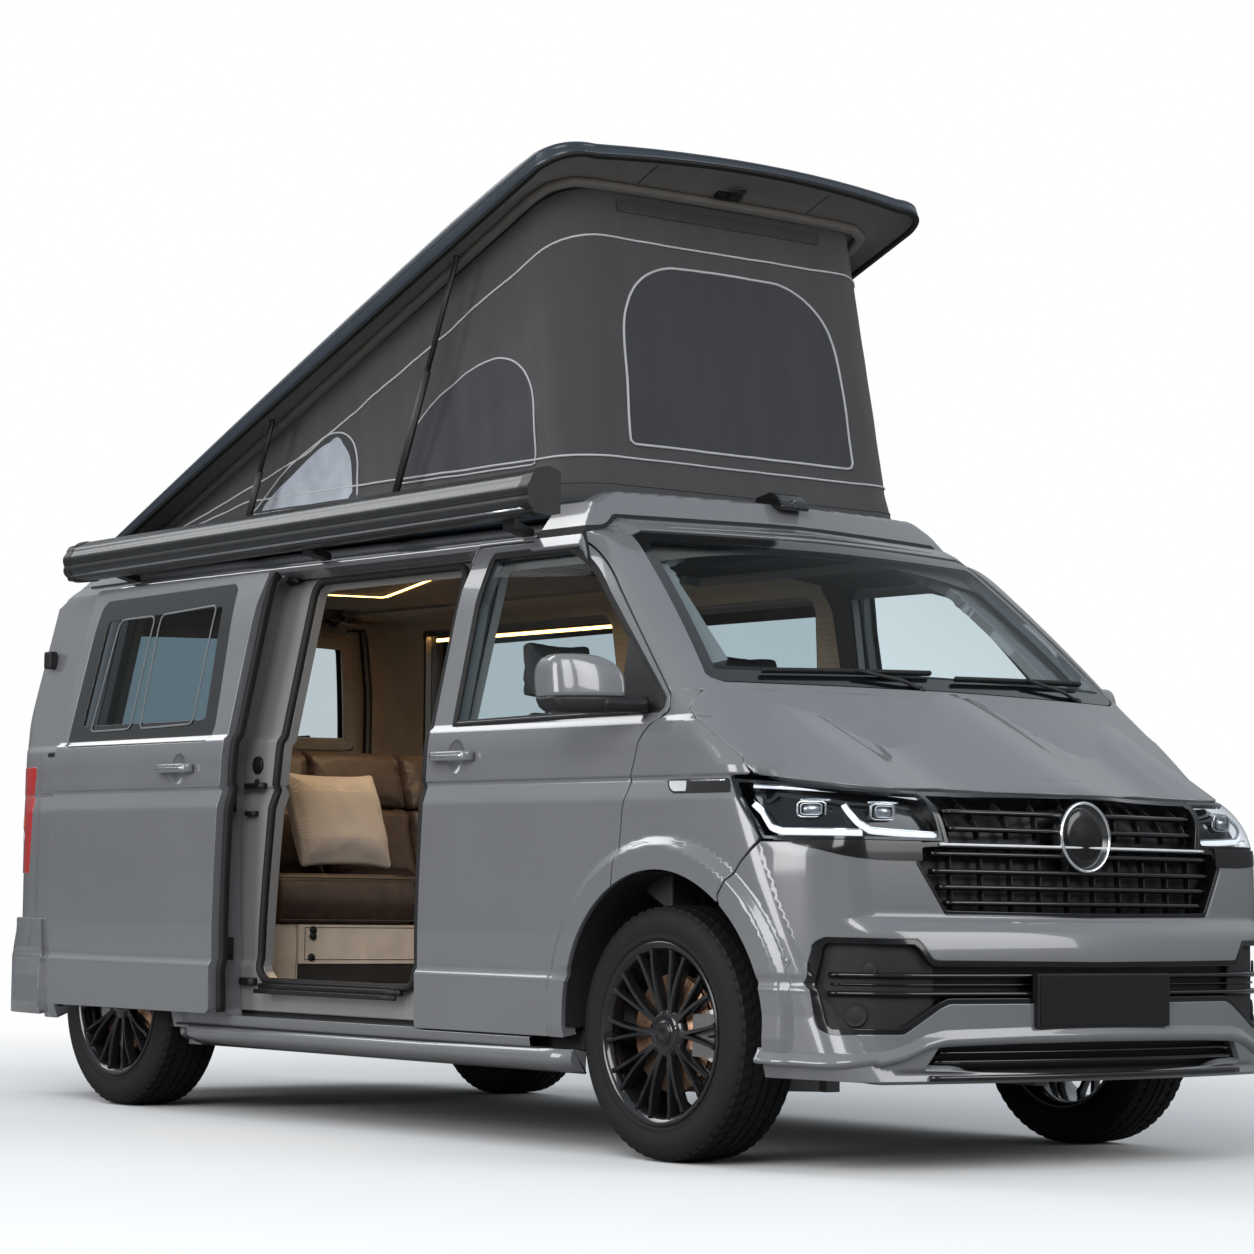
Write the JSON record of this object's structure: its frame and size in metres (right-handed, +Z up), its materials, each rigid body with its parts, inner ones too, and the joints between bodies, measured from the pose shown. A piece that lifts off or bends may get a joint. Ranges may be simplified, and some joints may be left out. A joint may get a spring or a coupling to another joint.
{
  "type": "camper van",
  "caption": "Camper van with a tilting pop-top roof and canvas, side awning, open sliding door, opening front doors, bonnet and tailgate, steering and rolling wheels.",
  "frame": {"origin": "on the ground, on the centre line, half way between the two bumpers", "axes": "+X forward, +Y to the left of the van, +Z up"},
  "size_m": [4.864, 2.3108, 3.1124],
  "materials": {
    "body_paint": "solid mid grey, glossy clear coat",
    "window_glass": "tinted, polished",
    "black_trim": "black, satin to gloss",
    "lamp_lens": "clear lens over a dark reflector",
    "tail_lens": "red lens",
    "awning_anthracite": "anthracite powder coat",
    "roof_shell": "dark blue-grey moulded shell",
    "roof_lining": "warm grey-beige lining",
    "tent_canvas": "charcoal woven canvas with light piping",
    "stay_black": "black satin",
    "chassis_black": "black underbody coating",
    "engine_metal": "plain cast block",
    "seat_leather": "dark brown grained leather",
    "cabinet_beige": "beige laminate",
    "pillow_linen": "grey-beige linen",
    "dash_plastic": "dark grained plastic",
    "wheel_black": "gloss black",
    "tyre_rubber": "black rubber"
  },
  "bodies": {
    "root": {"awning": "awning_anthracite", "bench_base": "cabinet_beige", "bench_cushions": "seat_leather", "body_shell": "body_paint", "bumper_grille": "black_trim", "ceiling": "roof_lining", "dashboard": "dash_plastic", "engine_block": "engine_metal", "fender_left": "body_paint", "fender_right": "body_paint", "front_bumper": "body_paint", "front_subframe": "chassis_black", "fuel_tank": "chassis_black", "grille": "black_trim", "headlamp_left": "lamp_lens", "headlamp_right": "lamp_lens", "pillow": "pillow_linen", "rear_axle": "chassis_black", "rear_bumper": "body_paint", "roof_fairing": "body_paint", "roof_frame": "black_trim", "seat_left": "seat_leather", "seat_right": "seat_leather", "side_cabinet": "cabinet_beige", "side_glass": "window_glass", "side_skirts": "body_paint", "sliding_door": "body_paint", "sliding_door_glass": "window_glass", "tail_lamps": "tail_lens", "tent": "tent_canvas", "windscreen": "window_glass", "wipers": "black_trim"},
    "front_door_left": {"front_door_left": "body_paint", "front_door_glass_left": "window_glass", "mirror_left": "body_paint"},
    "front_door_right": {"front_door_right": "body_paint", "front_door_glass_right": "window_glass", "mirror_right": "body_paint"},
    "bonnet": {"bonnet": "body_paint"},
    "tailgate": {"tailgate": "body_paint", "tailgate_glass": "window_glass"},
    "pop_top": {"pop_top_roof": "roof_shell", "pop_top_lining": "roof_lining"},
    "front_stays": {"front_stays": "stay_black"},
    "rear_stays": {"rear_stays": "stay_black"},
    "knuckle_left": {"knuckle_left": "chassis_black"},
    "knuckle_right": {"knuckle_right": "chassis_black"},
    "steering_wheel": {"steering_wheel": "dash_plastic"},
    "wheel_front_left": {"wheel_front_left": "wheel_black", "tyre_front_left": "tyre_rubber"},
    "wheel_front_right": {"wheel_front_right": "wheel_black", "tyre_front_right": "tyre_rubber"},
    "wheel_rear_left": {"wheel_rear_left": "wheel_black", "tyre_rear_left": "tyre_rubber"},
    "wheel_rear_right": {"wheel_rear_right": "wheel_black", "tyre_rear_right": "tyre_rubber"}
  },
  "joints": [
    {"name": "front_door_left", "type": "hinge", "parent": "root", "child": "front_door_left", "pos_m": [1.606, 0.958, 0.8], "axis": [0, 0, -1], "range_deg": [0, 65]},
    {"name": "front_door_right", "type": "hinge", "parent": "root", "child": "front_door_right", "pos_m": [1.606, -0.958, 0.8], "axis": [0, 0, 1], "range_deg": [0, 65]},
    {"name": "bonnet", "type": "hinge", "parent": "root", "child": "bonnet", "pos_m": [1.634, 0, 1.352], "axis": [0, -1, 0], "range_deg": [0, 50]},
    {"name": "tailgate", "type": "hinge", "parent": "root", "child": "tailgate", "pos_m": [-2.18, 0, 1.9], "axis": [0, 1, 0], "range_deg": [0, 86]},
    {"name": "pop_top", "type": "hinge", "parent": "root", "child": "pop_top", "pos_m": [-1.8, 0, 1.954], "axis": [0, 1, 0], "range_deg": [0, 20.5], "deforming": ["tent"]},
    {"name": "front_stays", "type": "hinge", "parent": "root", "child": "front_stays", "pos_m": [-0.075, 0, 1.98], "axis": [0, 1, 0], "range_deg": [0, 63.6]},
    {"name": "rear_stays", "type": "hinge", "parent": "root", "child": "rear_stays", "pos_m": [-0.951, 0, 1.98], "axis": [0, 1, 0], "range_deg": [0, 63.6]},
    {"name": "steer_left", "type": "hinge", "parent": "root", "child": "knuckle_left", "pos_m": [1.57, 0.812, 0.364], "axis": [0, 0, 1], "range_deg": [-33, 33]},
    {"name": "steer_right", "type": "hinge", "parent": "root", "child": "knuckle_right", "pos_m": [1.57, -0.812, 0.364], "axis": [0, 0, 1], "range_deg": [-33, 33]},
    {"name": "steering_wheel", "type": "hinge", "parent": "root", "child": "steering_wheel", "pos_m": [1.13, 0.38, 1.13], "axis": [-0.8829, 0, 0.4695], "range_deg": [-530, 530]},
    {"name": "roll_front_left", "type": "hinge", "parent": "knuckle_left", "child": "wheel_front_left", "pos_m": [1.57, 0.812, 0.364], "axis": [0, 1, 0], "continuous": true},
    {"name": "roll_front_right", "type": "hinge", "parent": "knuckle_right", "child": "wheel_front_right", "pos_m": [1.57, -0.812, 0.364], "axis": [0, 1, 0], "continuous": true},
    {"name": "roll_rear_left", "type": "hinge", "parent": "root", "child": "wheel_rear_left", "pos_m": [-1.43, 0.812, 0.364], "axis": [0, 1, 0], "continuous": true},
    {"name": "roll_rear_right", "type": "hinge", "parent": "root", "child": "wheel_rear_right", "pos_m": [-1.43, -0.812, 0.364], "axis": [0, 1, 0], "continuous": true}
  ],
  "couplings": [
    {"joint": "front_stays", "follows": "pop_top", "ratio": 3.1},
    {"joint": "rear_stays", "follows": "pop_top", "ratio": 3.1},
    {"joint": "steer_right", "follows": "steer_left", "ratio": 1},
    {"joint": "steering_wheel", "follows": "steer_left", "ratio": 16}
  ]
}
